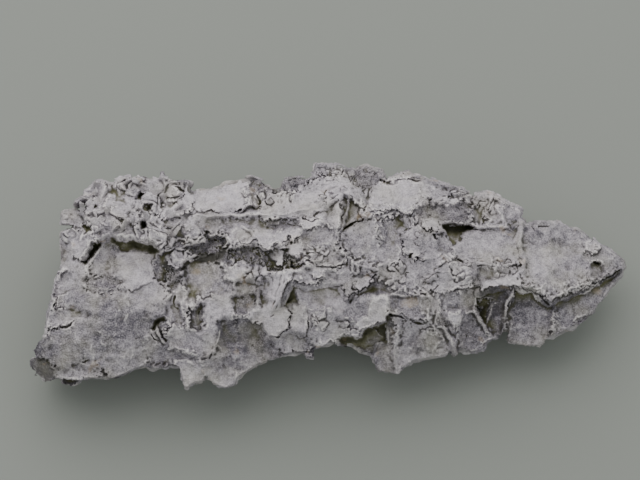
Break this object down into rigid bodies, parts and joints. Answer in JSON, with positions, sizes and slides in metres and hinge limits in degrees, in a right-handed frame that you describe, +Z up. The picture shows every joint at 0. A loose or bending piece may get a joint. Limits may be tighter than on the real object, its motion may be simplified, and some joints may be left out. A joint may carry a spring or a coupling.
{
  "type": "quartz pseudomorph",
  "caption": "Long ragged lump of grey quartz boxwork: thin overlapping walls and flakes over open hollows, broken flat underneath so that it lies steady.",
  "frame": {"origin": "on the ground, under the middle of the lump's length and width", "axes": "+X along the length towards the pointed blade, +Z up, and the show face leans back from -Y"},
  "size_m": [0.1482, 0.0602, 0.0364],
  "materials": {
    "quartz": "matt, finely crystalline, pale lilac grey"
  },
  "bodies": {
    "root": {"quartz_pseudomorph": "quartz"}
  },
  "joints": []
}
